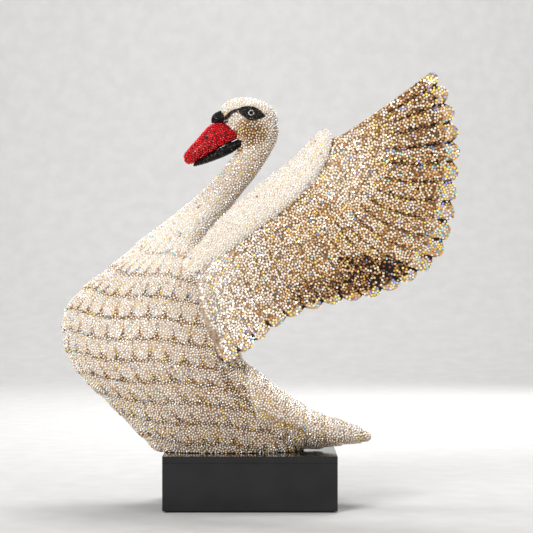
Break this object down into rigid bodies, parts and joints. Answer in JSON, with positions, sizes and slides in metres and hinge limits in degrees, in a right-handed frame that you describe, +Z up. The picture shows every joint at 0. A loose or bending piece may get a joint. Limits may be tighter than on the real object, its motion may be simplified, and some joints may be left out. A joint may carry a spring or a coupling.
{
  "type": "crystal-set swan figurine",
  "caption": "Swan sculpture set all over with small faceted crystals, wings raised, head bowed, standing on a black gloss block plinth.",
  "frame": {"origin": "centre of the plinth's underside", "axes": "+Z up, the swan faces -X, its left side is -Y"},
  "size_m": [0.4822, 0.3164, 0.5258],
  "materials": {
    "plinth_gloss": "deep black high gloss",
    "felt": "pressed black felt",
    "plywood": "sanded birch plywood",
    "steel": "bright drawn steel",
    "aluminium": "satin",
    "brass": "turned brass",
    "resin": "cast resin under clear adhesive",
    "bill_lacquer": "dark red lacquer under the crystals",
    "black_lacquer": "black lacquer under the crystals",
    "crystal_clear": "foil-backed faceted crystal, clear to champagne, some with an iridescent coat",
    "crystal_red": "foil-backed faceted crystal, red",
    "crystal_black": "faceted crystal, jet black"
  },
  "bodies": {
    "root": {"plinth_front_panel": "plinth_gloss", "plinth_back_panel": "plinth_gloss", "plinth_left_panel": "plinth_gloss", "plinth_right_panel": "plinth_gloss", "plinth_top_panel": "plinth_gloss", "felt_base": "felt", "plinth_bottom_board": "plywood", "plinth_corner_blocks": "plywood", "plinth_backing_plate": "plywood", "foot_plate": "plywood", "keel_board": "plywood", "neck_joint_plate": "plywood", "head_plug": "plywood", "anchor_bolts": "steel", "anchor_washers": "steel", "wing_rods": "steel", "neck_rod": "steel", "keel_brackets": "aluminium", "rod_collars": "aluminium", "bottom_board_screws": "brass", "threaded_inserts": "brass", "bracket_screws": "brass", "bill_pins": "brass", "tail_pins": "brass", "body_shell": "resin", "neck_shell": "resin", "head_shell": "resin", "left_wing_fan": "resin", "right_wing_fan": "resin", "left_wing_arm": "resin", "right_wing_arm": "resin", "tail": "resin", "upper_bill": "bill_lacquer", "lower_bill": "black_lacquer", "bill_knob": "black_lacquer", "left_eye_mask": "black_lacquer", "right_eye_mask": "black_lacquer", "left_eye_crystals": "crystal_clear", "right_eye_crystals": "crystal_clear", "nostril_crystals": "crystal_black"}
  },
  "joints": []
}
